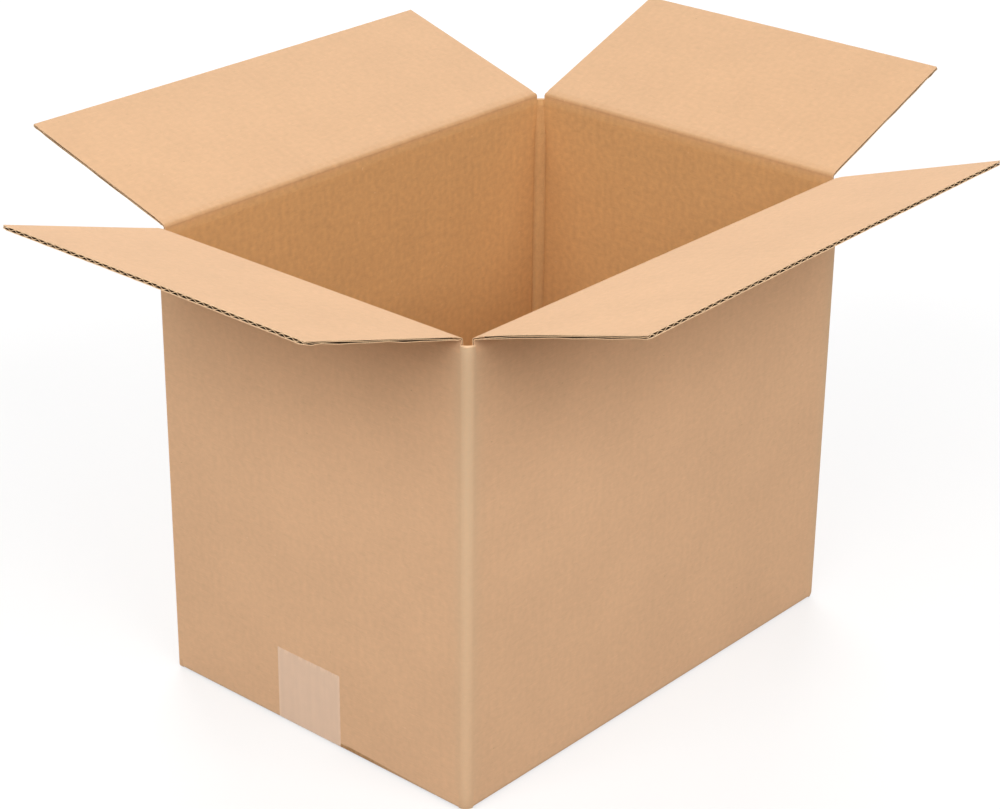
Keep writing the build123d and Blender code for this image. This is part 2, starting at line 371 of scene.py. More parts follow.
def make_piece(name, sheets, materials, sharp=35.0):
    """Mesh object from grids of points: each grid cell is a face, and borders that meet are welded shut."""
    points, flats, marks, quads, slots = [], [], [], [], []
    start = 0
    for sheet in sheets:
        rows, columns = sheet.points.shape[:2]
        cells = grid_cells(rows, columns, start)
        points.append(sheet.points.reshape(-1, 3))
        flats.append(sheet.flat.reshape(-1, 2))
        share = np.empty((rows, columns, 2))
        share[..., 0], share[..., 1] = sheet.rubbed, sheet.pressed
        marks.append(share.reshape(-1, 2))
        quads.append(cells)
        slots.append(np.full(len(cells), sheet.slot))
        start += rows * columns
    points, flats, marks, quads = (np.concatenate(part) for part in (points, flats, marks, quads))

    mesh = bpy.data.meshes.new(name)
    mesh.vertices.add(len(points))
    mesh.vertices.foreach_set("co", points.ravel())
    mesh.loops.add(quads.size)
    mesh.loops.foreach_set("vertex_index", quads.ravel())
    mesh.polygons.add(len(quads))
    mesh.polygons.foreach_set("loop_start", np.arange(0, quads.size, 4))
    mesh.polygons.foreach_set("material_index", np.concatenate(slots))
    mesh.update(calc_edges=True)
    mesh.uv_layers.new(name=FLAT_MAP).data.foreach_set("uv", flats[quads.ravel()].ravel())
    for mark, shares in zip((RUBBED, PRESSED), np.ascontiguousarray(marks.T)):
        mesh.attributes.new(mark, "FLOAT", "POINT").data.foreach_set("value", shares)

    shell = bmesh.new()
    shell.from_mesh(mesh)
    bmesh.ops.remove_doubles(shell, verts=shell.verts, dist=WELD)
    bmesh.ops.recalc_face_normals(shell, faces=shell.faces)
    gaps = sum(not edge.is_manifold for edge in shell.edges)
    shell.to_mesh(mesh)
    shell.free()
    if gaps:
        raise RuntimeError(f"{name} has {gaps} open edges")

    mesh.shade_smooth()
    mesh.set_sharp_from_angle(angle=math.radians(sharp))
    for material in materials:
        mesh.materials.append(material)
    piece = bpy.data.objects.new(name, mesh)
    bpy.context.scene.collection.objects.link(piece)
    return piece


def crowded(count, ends):
    """Places from -1 to 1: even steps with the given distances from both ends put in."""
    even = np.linspace(-1.0, 1.0, count)
    near = np.concatenate([np.asarray(ends) - 1.0, 1.0 - np.asarray(ends)])
    return np.unique(np.round(np.concatenate([even, near]), 6))


class Columns(NamedTuple):
    """Columns of the folded sheet: outer and inner points, flat-sheet coordinates and marked shares."""

    outer: np.ndarray
    inner: np.ndarray
    flat: np.ndarray
    rubbed: np.ndarray
    pressed: np.ndarray


class FoldRows(NamedTuple):
    """Rows of the folded sheet: heights, and the opening, bevel, groove and wear of the folds there, the wear
    carrying a painted highlight that grows toward the top.
    """

    height: np.ndarray
    fade: np.ndarray
    leg: np.ndarray
    groove: np.ndarray
    wear: np.ndarray


def fold_rows(sizes, rows):
    """The upright folds at rows of heights: pressed in the middle, plain at the base and below the crush."""
    high, rows = heights(sizes), np.asarray(rows)[:, None]
    fade = smooth((rows - high["base_top"]) / FOLD_RISE) * smooth((high["crush_start"] - rows) / FOLD_END)
    tight = sizes.slot_inset - sizes.caliper
    leg = tight + (sizes.bevel - tight) * fade
    # painted highlight: the folds' pale rub grows toward the top, where the flaps shade the walls beside them
    # and the folds stay lit
    wear = 0.55 + 0.45 * smooth(rows / high["crease"])
    return FoldRows(rows, fade, leg, sizes.score_depth * fade, wear)


def fold_lengths(sizes):
    """Along the outside of an upright fold: the straight between slot and arc, and half of the whole fold."""
    beside = sizes.slot_inset - sizes.fold_radius
    return beside, beside + sizes.fold_radius * QUARTER / 2


def raw_post(sizes):
    """Width of the post between the sheet's raw edge and its slot."""
    return sizes.slot_inset - sizes.raw_inset - RAW_GAP


def wall_end(sizes, at, neighbour, raw_edge):
    """Distance to the end of a wall's columns, outside and inside: a fold to its neighbour, or a raw edge."""
    if neighbour is None:
        return raw_edge, raw_edge + 0 * at.leg
    return neighbour.reach - sizes.slot_inset, neighbour.reach - neighbour.caliper - at.leg


def wall_columns(sizes, at, before, leaf, after):
    """Columns straight along a wall or the lap, between its folds.

    Inside, a line is pressed along each fold, as deep as a bell of the distance to it. The first wall starts
    at a raw edge, and the lap ends in one.
    """
    low_out, low_in = (-end for end in wall_end(sizes, at, before, leaf.span / 2 - sizes.raw_inset))
    high_out, high_in = wall_end(sizes, at, after, sizes.lap - leaf.span / 2)
    share = (crowded(15, FOLD_SHARES) + 1) / 2
    if before is None:
        share = np.union1d(share, raw_post(sizes) / (high_out - low_out))
    share = share[None, :]
    along_out = low_out + (high_out - low_out) * share + 0 * at.height
    along_in = low_in + (high_in - low_in) * share
    line, worn = 0 * along_in, 0 * along_out
    from_low = (before, along_out - low_out, along_in - low_in)
    from_high = (after, high_out - along_out, high_in - along_in)
    for neighbour, outside, inside in (from_low, from_high):
        if neighbour is not None:
            line = line + bell(inside / (sizes.score_width / 2))
            # the pale band beside each fold, partly real rubbing and partly a painted highlight
            worn = worn + bell((outside + fold_lengths(sizes)[1]) / FOLD_RUB_AND_HIGHLIGHT)
    rise = UP * at.height[..., None]
    deep = leaf.reach - leaf.caliper + at.groove * line
    return Columns(
        leaf.facing * leaf.reach + leaf.travel * along_out[..., None] + rise,
        leaf.facing * deep[..., None] + leaf.travel * along_in[..., None] + rise,
        np.stack([leaf.sheet + along_out, at.height + 0 * along_out], axis=-1),
        worn * at.wear,
        line * at.fade,
    )


def fold_columns(sizes, at, leaf, after):
    """Columns round an upright fold, between the columns of its two walls.

    The outer ones follow a quarter circle, and the inner ones a swollen bevel with a pressed line along each
    side, both taken at equal shares of their lengths.
    """
    share = np.union1d(np.linspace(0, 1, 13), (0.04, 0.12, 0.88, 0.96))[1:-1]
    radius, (beside, half_fold) = sizes.fold_radius, fold_lengths(sizes)
    run = share * 2 * half_fold
    turn = np.clip((run - beside) / radius, 0, QUARTER)
    ahead = np.clip(run, 0, beside) - beside
    behind = np.clip(run - beside - radius * QUARTER, 0, beside)
    corner = leaf.facing * (leaf.reach - radius) + leaf.travel * (after.reach - radius)
    outward, onward = radius * np.cos(turn) - behind, radius * np.sin(turn) + ahead
    outer = corner + leaf.facing * outward[:, None] + leaf.travel * onward[:, None]

    inner_corner = leaf.facing * (leaf.reach - leaf.caliper) + leaf.travel * (after.reach - after.caliper)
    slope, swell = leaf.travel - leaf.facing, (leaf.travel + leaf.facing) / math.sqrt(2)
    half_score, chord = sizes.score_width / 2, at.leg * math.sqrt(2)
    line = bell(share * chord / half_score) + bell((1 - share) * chord / half_score)
    lift = at.groove * line - sizes.bead * at.fade * np.sin(math.pi * share)
    start = inner_corner - leaf.travel * at.leg[..., None]
    inner = start + slope * (share * at.leg)[..., None] + swell * lift[..., None]

    rise = UP * at.height[..., None]
    from_sheet = leaf.sheet + after.reach - sizes.slot_inset
    to_sheet = after.sheet - leaf.reach + sizes.slot_inset
    place = from_sheet + (to_sheet - from_sheet) * share
    return Columns(
        outer[None] + rise,
        inner + rise,
        np.stack(np.broadcast_arrays(place[None, :], at.height), axis=-1),
        bell((run - half_fold) / FOLD_RUB_AND_HIGHLIGHT)[None, :] * at.wear + 0 * line,
        FOLD_TONE + (1 - FOLD_TONE) * line * at.fade,
    )


def wall_grid(sizes, rows):
    """The folded sheet at rows of heights: its columns from the raw edge round the box to the end of the lap.

    Also returns where the posts between the slots start and end: the folds, and last the sheet's raw edge.
    """
    at, walls = fold_rows(sizes, rows), box_walls(sizes)
    first, last = walls[0], walls[-1]
    lap = first._replace(
        reach=first.reach - sizes.caliper, caliper=sizes.lap_caliper,
        sheet=last.sheet + (first.span + last.span) / 2,
    )
    leaves = [*walls, lap]
    parts, posts = [], []
    for before, leaf, after in zip([None, *walls], leaves, [*leaves[1:], None]):
        parts.append(wall_columns(sizes, at, before, leaf, after))
        if after is not None:
            start = sum(part.outer.shape[1] for part in parts) - 1
            parts.append(fold_columns(sizes, at, leaf, after))
            posts.append((start, start + parts[-1].outer.shape[1] + 1))
    sheet = Columns(*(np.concatenate(grids, axis=1) for grids in zip(*parts)))
    from_raw = sheet.flat[0, :, 0] - sheet.flat[0, 0, 0]
    posts.append((0, int(np.argmin(np.abs(from_raw - raw_post(sizes))))))
    return sheet, posts


def wall_sheets(sizes):
    """Grids of the folded sheet: its walls, and at each fold a post above and below, between the slots."""
    high = heights(sizes)
    low_rows, high_rows = high["base_top"] + LOW_ROWS, high["crush_start"] - HIGH_ROWS
    rows = np.concatenate([low_rows[:-1], np.linspace(low_rows[-1], high_rows[0], 17), high_rows[1:]])
    (front, back, flat, rubbed, pressed), posts = wall_grid(sizes, rows)

    # the glued lap ends in a slant above and below
    lap = (slice(None), slice(posts[-2][1], None))
    inward = front[0, lap[1], 1] - front[0, lap[1].start, 1]
    level = (rows - rows[0]) / (rows[-1] - rows[0])
    slant = sizes.lap_slant * (inward / inward[-1])[None, :] * (1 - 2 * level[:, None])
    for grid in (front, back, flat):
        grid[lap][..., -1] += slant

    sheets = [
        Sheet(front, flat, OUTSIDE, rubbed, 0.0),
        Sheet(back, flat + INSIDE_SHIFT, INSIDE, 0.0, pressed),
    ]
    for border in ((slice(None), 0), (slice(None), -1)):
        sheets += cut_edge(front[border], back[border], flat[border])
    for row, ends, posts_here in ((-1, *top_posts(sizes, posts)), (0, *foot_posts(sizes, posts))):
        sheets += posts_here
        ends = [*sorted(ends), (front.shape[1] - 1, None)]
        for (_, start), (end, _) in zip(ends, ends[1:]):
            border = (row, slice(start, end + 1))
            sheets += cut_edge(front[border], back[border], flat[border])
    return sheets


def post_sheets(grid, start, end):
    """Grids of a post between two slots: its faces, its sides and its free end."""
    part = (slice(None), slice(start, end + 1))
    sheets = [
        Sheet(grid.outer[part], grid.flat[part], OUTSIDE, grid.rubbed[part]),
        Sheet(grid.inner[part], grid.flat[part] + INSIDE_SHIFT, INSIDE, 0.0, FOLD_TONE),
    ]
    for border in ((slice(None), start), (slice(None), end), (-1, slice(start, end + 1))):
        sheets += cut_edge(grid.outer[border], grid.inner[border], grid.flat[border])
    return sheets


def top_posts(sizes, posts):
    """Where the posts beside the top flaps start and end, and their grids, pressed as thin as the creases."""
    high = heights(sizes)
    rows = np.linspace(high["crush_start"], high["post_top"], 6)
    grid, _ = wall_grid(sizes, rows)
    kept = (2 * crushed_half(sizes, (high["crease"] - rows) / sizes.crush) / sizes.caliper)[:, None, None]
    grid = grid._replace(inner=grid.outer + (grid.inner - grid.outer) * kept)
    # the last slot runs on over the fold of the lap
    start, end = posts[-2]
    beyond = grid.outer[0, start:end + 1, 0] <= sizes.slot_inset - BODY_HIGH.x
    ends = [*posts[:-2], (start + int(np.argmax(beyond)), end), posts[-1]]
    return ends, [sheet for place in ends for sheet in post_sheets(grid, *place)]


def foot_posts(sizes, posts):
    """Where the posts at the floor start and end, and their grids.

    Their lowest row is drawn in a little, and the post of the second fold is rubbed away on a slant.
    """
    high = heights(sizes)
    grid, _ = wall_grid(sizes, (high["base_top"], high["foot"] + FOOT_END, high["foot"]))
    middle = (grid.outer[-1, :, :2] + grid.inner[-1, :, :2]) / 2
    worn = slice(posts[1][0], posts[1][1] + 1)
    for points in (grid.outer, grid.inner):
        points[-1, :, :2] += 0.25 * (middle - points[-1, :, :2])
        slope = (points[1:, worn, 0] - (BODY_HIGH.x - sizes.slot_inset)) / sizes.slot_inset
        points[1:, worn, 2] += sizes.worn * smooth(slope)
    return posts, [sheet for place in posts for sheet in post_sheets(grid, *place)]


def crushed_half(sizes, share):
    """Half the thickness of the board beside a crease: pressed at share 0, whole from share 1 on."""
    return sizes.neck / 2 + (sizes.caliper - sizes.neck) / 2 * smooth(np.abs(share) * 1.12 - 0.12)


def fluted_board(sizes, origin, along, out, face, width, reach, flat, seed, bow=None):
    """Grids of a flat piece of board: two liners, and between them the medium.

    A point lies at origin + a along + u out + v face. The liners lie at v = plus and minus half the caliper,
    and the middle of the medium is v = -A cos(2 pi a / pitch), counted from one side edge, with half its
    thickness to each side of it, square to the wave. Towards the cut edges the knife has pressed all three up
    to the inside liner by a bell of the distance, and along the slots the medium wanders. The free edge is
    cut unevenly. bow(a, u) bends the layers alike.
    """
    waves = max(1, round(width / sizes.pitch))
    turns = math.tau * waves / width
    crush = sizes.cut_crush

    def place(a, u, v):
        v = v + sizes.caliper / 2 - half(a, u) + (0.0 if bow is None else bow(a, u))
        return origin + along * a[..., None] + out * u[..., None] + face * v[..., None]

    def laid_out(a, u):
        return np.stack([flat[0] + a, flat[1] + u], axis=-1)

    def cut(a, number):
        return sizes.burr * drift(a, 21 * MM, seed + number)

    def half(a, u):
        by_slot = 1 + 0.65 * drift(u, 45 * MM, seed + 3) * smooth(u / crush)
        by_slot = by_slot * (sizes.caliper - sizes.slot_caliper) / 2 * bell((width / 2 - np.abs(a)) / crush)
        by_edge = 1 + 0.25 * drift(a, 50 * MM, seed + 4)
        by_edge = by_edge * (sizes.caliper - sizes.cut_caliper) / 2 * bell((reach - u) / crush)
        pressed = sizes.caliper / 2 - np.maximum(by_slot, by_edge)
        return np.maximum(pressed, sizes.liner + 0.7 * sizes.medium)

    def liner(u):
        return sizes.liner * (1 + 0.3 * bell((reach - u) / (0.3 * crush)))

    sheets = []
    depths = np.union1d(np.linspace(0.0, 1.0, 10), 1 - CUT_STEPS / reach)[:, None]
    even = np.linspace(-width / 2, width / 2, 2 * waves + 1)
    near = np.concatenate([even, CUT_STEPS - width / 2, width / 2 - CUT_STEPS])
    across = np.unique(np.round(near, 6))[None, :]
    faces = ((1, INSIDE, INSIDE_SHIFT), (-1, OUTSIDE, 0 * INSIDE_SHIFT))
    for number, (side, slot, shift) in enumerate(faces):
        a = across + 0 * depths
        u = depths * (reach + cut(across, number))
        near_edge = bell((reach - u) / (1.6 * MM)) + bell((width / 2 - np.abs(a)) / (1.2 * MM))
        front, back = place(a, u, side * half(a, u)), place(a, u, side * (half(a, u) - liner(u)))
        rubbed = 0.1 * np.clip(near_edge, 0, 1)
        sheets += closed_board(front, back, laid_out(a, u) + shift, (slot, MEDIUM), rubbed=rubbed)

    depths = np.union1d(np.linspace(0.0, 1.0, 6), 1 - CUT_STEPS[::2] / reach)[:, None]
    across = np.linspace(-width / 2, width / 2, 14 * waves + 1)[None, :]
    a = across + 0 * depths
    u = depths * (reach - sizes.recess + cut(across, 7))
    thick = sizes.medium * (1 + 0.1 * bell((reach - u) / (0.3 * crush))) / 2
    tall = half(a, u) - liner(u) - thick + MEDIUM_BITE
    tall = tall * (1 - 0.10 * (1 + drift(across, 90 * MM, seed + 5)) / 2)
    inner = 1 - np.square(2 * across / width)
    turn = turns * (across + width / 2) + 0.5 * inner * drift(across, 120 * MM, seed + 6)
    wave, slope = -tall * np.cos(turn), tall * np.sin(turn) * turns
    loose = bell((width / 2 - np.abs(a)) / (0.4 * crush)) * smooth(u / crush)
    wander = np.clip(2.2 * drift(u, 60 * MM, seed + 8, 9), -1, 1)
    wave, slope = wave + loose * (tall * wander - wave), slope * (1 - loose)
    stretch = np.sqrt(1 + slope * slope)
    lean_a, lean_v = -slope / stretch * thick, thick / stretch
    lean_a[:, (0, -1)] = 0.0
    front, back = place(a + lean_a, u, wave + lean_v), place(a - lean_a, u, wave - lean_v)
    return sheets + closed_board(front, back, laid_out(a, u), (MEDIUM, MEDIUM))


def flap_bow(name):
    """How a flap bends out of its plane, growing smoothly from the crease.

    The bow is one less the square of the place along the flap, and the bent corner is a power of the distance
    from the other end.
    """
    middle, corner = FLAP_BENDS[name]

    def bow(a, u):
        across = np.clip(a / BEND_HALF, -1, 1)
        bent = corner * np.power((1 - across) / 2, 1.3)
        return (middle * (1 - across * across) + bent) * smooth(u / BEND_REACH)

    return bow


def crease_axis(sizes, wall):
    """Middle of the line that a flap turns on."""
    return wall.facing * (wall.reach - sizes.caliper / 2) + UP * wall.crease


def layer_shift(sizes, wall):
    """How far a flap's middle lies toward its inner face from the line that it turns on."""
    shift = (sizes.caliper + sizes.layer_room) / 4
    return -shift if wall.outer else shift


def crease_profile(sizes, wall):
    """Section across a crease, as distances outward and up from its turning line.

    The middle of the board rises along the wall, turns on a small arc and leaves along the middle of the
    flap. The board is whole at both ends and drawn in to the pressed thickness at the crease, a quarter of it
    from inside. Returns the middle, its normal, the thickness outside and inside of it, and the share walked.
    """
    below, beyond = wall.crease - heights(sizes)["crush_start"], sizes.crush
    middle = layer_shift(sizes, wall)
    flat_out, flat_up = np.sin(wall.lean), np.cos(wall.lean)
    reach, top, out = sizes.bend * math.tan(wall.lean / 2), middle / flat_out, middle * flat_up / flat_out
    low, far = top - reach, out + reach
    near, next_row = 0.6 * MM, 0.9 * MM
    rise = np.concatenate([np.linspace(-below, low - next_row, 9), np.linspace(low - near, low, 3)])
    turn = np.linspace(0.0, wall.lean, 11)[1:-1]
    leave = np.concatenate([np.linspace(far, far + near, 3), np.linspace(far + next_row, beyond, 9)])

    x = np.concatenate([0 * rise, sizes.bend * (1 - np.cos(turn)), leave * flat_out - middle * flat_up])
    z = np.concatenate([rise, low + sizes.bend * np.sin(turn), leave * flat_up + middle * flat_out])
    bearing = np.concatenate([0 * rise, turn, 0 * leave + wall.lean])
    walked = np.concatenate([
        (rise - low) / (below + low) - 0.05,
        (turn / wall.lean - 0.5) * 0.1,
        (leave - far) / (beyond - far) + 0.05,
    ])
    walked = np.clip(walked, -1, 1)
    lost = sizes.caliper / 2 - crushed_half(sizes, np.where(walked > 0, 1.5 * walked, walked))
    thick = sizes.caliper / 2 - np.stack([1.5 * lost, 0.5 * lost], 1)
    return np.stack([x, z], 1), np.stack([np.cos(bearing), -np.sin(bearing)], 1), thick, walked


def crease_sheets(sizes, wall, seed):
    """Grids of a crease: its section carried along the wall, with the crushed flutes left as shallow ripples.

    Past the ends of the slots the knife has pressed the ends of the crease in from outside, by a bell of the
    distance.
    """
    high = heights(sizes)
    middle, normal, thick, walked = crease_profile(sizes, wall)
    long_half = wall.span / 2 - sizes.slot_inset
    waves = max(1, round(2 * long_half / sizes.pitch))
    share = crowded(6 * waves + 1, np.array((0.3, 0.7)) * MM / long_half)[None, :]
    narrow = sizes.side_room * smooth(walked * 4)[:, None]
    along = share * (long_half - narrow)
    up = np.where(walked < 0, walked * (wall.crease - high["crush_start"]), walked * sizes.crush)[:, None]
    slotted = smooth((up + sizes.slot_drop) / sizes.slot_drop)
    knife = slotted * bell((long_half - narrow - np.abs(along)) / sizes.cut_crush)
    knife = knife * np.clip(np.sum(thick, axis=1)[:, None] - sizes.slot_caliper, 0, None)
    window = np.sin(math.pi * np.clip(np.abs(walked), 0, 1))[:, None]
    swell = sizes.ripple * window * np.cos(share * math.pi * waves)
    uneven = CREASE_DRIFT * window * drift(share, math.tau / 9, seed)
    axis = crease_axis(sizes, wall)

    def surface(side):
        reach = thick[:, 0, None] - knife + 0.7 * swell if side > 0 else thick[:, 1, None] + swell
        reach = side * reach + uneven
        x = middle[:, 0, None] + normal[:, 0, None] * reach
        z = middle[:, 1, None] + normal[:, 1, None] * reach
        return axis + wall.facing * x[..., None] + UP * z[..., None] + wall.travel * along[..., None]

    flat = np.stack(np.broadcast_arrays(wall.sheet + along, high["crease"] + up), axis=-1)
    line = bell(walked / 0.12)[:, None] + 0 * along
    band = bell((walked + 0.45) / 0.4)[:, None] + 0 * along
    sheets = closed_board(surface(1), surface(-1), flat, layers=CRUSHED_EDGE, rubbed=0.08 * band)
    sheets[1] = sheets[1]._replace(pressed=0.6 * line)
    return sheets


def base_profile(sizes, wall):
    """Outer and inner line of a wall's foot and the root of its base flap, as distances inward and heights.

    The outer line goes down the wall, round the fold and in along the flap. The inner line goes down the
    wall, over a bevel and in along the flap. Both are taken at equal shares of their lengths.
    """
    high, caliper = heights(sizes), sizes.caliper
    half = caliper / 2
    if wall.outer:
        bottom, radius = high["floor"], sizes.base_radius
        turn = np.linspace(0, QUARTER, 11)
        fold = np.stack([radius * (1 - np.cos(turn)), bottom + radius * (1 - np.sin(turn))], 1)
        outer = np.concatenate([[(0.0, high["base_top"])], fold, [(sizes.base_root, bottom)]])
    else:
        bottom, foot = high["layer"], high["foot"] + half
        turn = np.linspace(0, math.pi, 17)
        fold = np.stack([half * (1 - np.cos(turn)), foot - half * np.sin(turn)], 1)
        corner = np.array([(caliper, bottom - BASE_CORNER), (caliper + BASE_CORNER, bottom)])
        outer = np.concatenate([[(0.0, high["base_top"])], fold, corner, [(sizes.base_root, bottom)]])
    top = bottom + caliper
    bend = np.linspace(0, QUARTER, 7)
    bevel = np.stack([caliper + half * (1 - np.cos(bend)), top + half * (1 - np.sin(bend))], 1)
    inner = np.concatenate([[(caliper, high["base_top"])], bevel, [(sizes.base_root, top)]])

    def even(line):
        steps = np.concatenate([[0], np.cumsum(np.linalg.norm(np.diff(line, axis=0), axis=1))])
        marks = np.union1d(np.linspace(0, 1, 41), steps / steps[-1])
        return steps, marks

    outer_steps, outer_marks = even(outer)
    inner_steps, inner_marks = even(inner)
    marks = np.union1d(np.round(outer_marks, 5), np.round(inner_marks, 5))

    def at(line, steps):
        return np.stack([np.interp(marks * steps[-1], steps, line[:, axis]) for axis in (0, 1)], 1)

    return at(outer, outer_steps), at(inner, inner_steps), marks * outer_steps[-1]


def base_root_sheets(sizes, wall):
    """Grids of a wall's foot: its section carried along the wall between the slots."""
    outer, inner, walked = base_profile(sizes, wall)
    along = np.linspace(-1, 1, 41)[None, :] * (wall.span / 2 - sizes.slot_inset)

    def surface(line):
        inward = wall.facing * (wall.reach - line[:, 0, None, None])
        return inward + UP * line[:, 1, None, None] + wall.travel * along[..., None]

    down = heights(sizes)["base_top"] - walked[:, None]
    flat = np.stack(np.broadcast_arrays(wall.sheet + along, down), axis=-1)
    fold = bell((walked - walked[-1] * 0.38) / (4 * MM))[:, None] + 0 * along
    sheets = closed_board(surface(outer), surface(inner), flat, rubbed=0.25 * fold)
    if not wall.outer:
        # painted shade on the foot where it stays clear of the floor, darkest beside the tape, standing for
        # the dark gap under it; it is carried as the pressed share
        lowest = walked[np.argmin(outer[:, 1])]
        from_tape = along - FOOT_SHADE_START
        beside = smooth(from_tape / FOOT_SHADE_RISE) * (1 - smooth((from_tape - 0.5 * MM) / FOOT_SHADE_REACH))
        foot_shade = smooth((walked[:, None] - lowest + (2.4 + 2.0 * beside) * MM) / (0.7 * MM))
        sheets[0] = sheets[0]._replace(pressed=foot_shade * (0.8 + 1.7 * beside))
    return sheets


def base_flap_sheets(sizes, wall, seed):
    """Grids of a base flap beyond its root: outer flaps lie on the floor, and inner ones on them."""
    high = heights(sizes)
    height = (high["floor"] if wall.outer else high["layer"]) + sizes.caliper / 2
    depth = (BODY_HIGH.y - sizes.seam_gap / 2) - sizes.base_root
    origin = wall.facing * (wall.reach - sizes.base_root) + UP * height
    width = wall.span - 2 * sizes.slot_inset
    flat = (wall.sheet, BASE_SHEET)
    return fluted_board(sizes, origin, wall.travel, -wall.facing, UP, width, depth, flat, seed)


def tape_line(sizes, offset):
    """Line of the tape over the board, in length and height, from its end on one short wall to the other.

    It goes down the wall, round the foot on an arc, slants down to the edge of the outer flaps and runs level
    to the middle; the other half mirrors it.
    """
    high, half = heights(sizes), sizes.caliper / 2
    radius = half + offset
    centre = np.array((half - BODY_HIGH.x, high["foot"] + half))
    flap_end = np.array((sizes.slot_inset - BODY_HIGH.x, high["floor"]))
    reach = flap_end - centre
    leave = math.atan2(reach[1], reach[0]) - math.acos(half / np.linalg.norm(reach))
    turn = np.linspace(-math.pi, leave, 15)
    arc = centre + radius * np.stack([np.cos(turn), np.sin(turn)], 1)
    low = high["floor"] - offset
    ahead = np.array((-math.sin(leave), math.cos(leave)))
    bend = arc[-1] + ahead * ((low - arc[-1, 1]) / ahead[1])
    wall = np.stack([np.full(16, -BODY_HIGH.x - offset), np.linspace(TAPE_HIGH.z, centre[1], 16)], 1)[:-1]
    level = np.stack([np.linspace(bend[0], 0.0, 24), np.full(24, low)], 1)
    half_line = np.concatenate([wall, arc, level])
    return np.concatenate([half_line, (half_line * (-1, 1))[-2::-1]])


def tape_sheets(sizes):
    """Grids of the tape: its line carried across its width, and its two ends torn to small uneven teeth."""
    across = np.linspace(TAPE_LOW.y, TAPE_HIGH.y, 49)[None, :]
    inside, outside = tape_line(sizes, sizes.adhesive), tape_line(sizes, sizes.adhesive + sizes.tape)
    steps = np.concatenate([[0], np.cumsum(np.linalg.norm(np.diff(outside, axis=0), axis=1))])[:, None]
    saw = np.abs(((across / TOOTH_PITCH) % 1.0) * 2 - 1)
    tooth = TOOTH * (saw + 0.6 * drift(across, math.tau / 190, TAPE_SEED))

    def surface(line):
        points = np.stack(np.broadcast_arrays(line[:, 0, None], across, line[:, 1, None]), axis=-1)
        points[0, :, 2] -= tooth[0]
        points[-1, :, 2] -= tooth[0, ::-1]
        return points

    flat = np.stack(np.broadcast_arrays(across - TAPE_LOW.y, steps), axis=-1)
    width = TAPE_HIGH.y - TAPE_LOW.y
    from_side = np.minimum(across - TAPE_LOW.y, TAPE_HIGH.y - across)
    # painted highlight along the tape's sides and ends, carried as its rubbed share
    edge = bell(np.minimum(from_side, np.minimum(steps, steps[-1] - steps)) / (0.025 * width))
    only = (OUTSIDE, OUTSIDE)
    return closed_board(surface(outside), surface(inside), flat, only, ((0.0, 1.0), only[:1]), edge)


# Materials


def give(tree, node, inputs):
    """Gives the inputs of a node values or links."""
    for key, value in dict(inputs).items():
        socket = node.inputs[key]
        if isinstance(value, bpy.types.NodeSocket):
            tree.links.new(value, socket)
        else:
            socket.default_value = value


def add(tree, kind, inputs=(), **settings):
    """Adds a node with its settings and inputs."""
    node = tree.nodes.new(kind)
    for key, value in settings.items():
        setattr(node, key, value)
    give(tree, node, inputs)
    return node


def math_node(tree, operation, *values):
    return add(tree, "ShaderNodeMath", dict(enumerate(values)), operation=operation).outputs[0]


def between(tree, value, low, high, start=0.0, end=1.0):
    """Value spread smoothly from low and high to start and end, and kept there beyond them."""
    inputs = {"Value": value, "From Min": low, "From Max": high, "To Min": start, "To Max": end}
    return add(tree, "ShaderNodeMapRange", inputs, interpolation_type="SMOOTHSTEP").outputs[0]


def turned(tree, vector, degrees, scale):
    inputs = {"Vector": vector, "Rotation": (0.0, 0.0, math.radians(degrees)), "Scale": (*scale, 1.0)}
    return add(tree, "ShaderNodeMapping", inputs).outputs[0]


def noise(tree, vector, scale, detail=2.0, distortion=0.0):
    inputs = {"Vector": vector, "Scale": scale, "Detail": detail, "Distortion": distortion}
    return add(tree, "ShaderNodeTexNoise", inputs, noise_dimensions="2D").outputs[0]


def mix(tree, share, first, second):
    inputs = {"Factor": share, "A": first, "B": second}
    return add(tree, "ShaderNodeMix", inputs, data_type="RGBA").outputs["Result"]


def shaded(tree, paint, tone):
    return add(tree, "ShaderNodeVectorMath", {0: paint, "Scale": tone}, operation="SCALE").outputs[0]


def bump(tree, height, distance=MM):
    inputs = {"Height": height, "Distance": distance, "Strength": 1.0}
    return add(tree, "ShaderNodeBump", inputs).outputs[0]


def rgba(paint):
    return (*paint, 1.0)


def new_group(name, inputs, outputs):
    """Empty shader node group with named sockets; returns the group, its inputs and its output node."""
    tree = bpy.data.node_groups.new(name, "ShaderNodeTree")
    for label, default in inputs.items():
        kind = default if isinstance(default, str) else "Float"
        socket = tree.interface.new_socket(label, in_out="INPUT", socket_type=f"NodeSocket{kind}")
        if default != kind:
            socket.default_value = default
    for label, kind in outputs.items():
        tree.interface.new_socket(label, in_out="OUTPUT", socket_type=f"NodeSocket{kind}")
    return tree, add(tree, "NodeGroupInput").outputs, add(tree, "NodeGroupOutput")


def use_group(tree, name, inputs):
    """Adds a node group, made at its first use, and returns its outputs."""
    makers = {"Kraft fibres": kraft_fibres, "Flute lines": flute_lines, "Patchy marks": patchy_marks}
    made = bpy.data.node_groups.get(name) or makers[name](name)
    return add(tree, "ShaderNodeGroup", inputs, node_tree=made).outputs


def fibres(tree, place, *kinds):
    """Two kinds of long fibres: turn, scale along and across, distortion, and the noise where they show."""
    shares = []
    for turn, scale, distortion, low, high in kinds:
        threads = noise(tree, turned(tree, place, turn, scale), 1.0, 1.0, distortion)
        shares.append(between(tree, threads, low, high))
    return math_node(tree, "MAXIMUM", *shares)


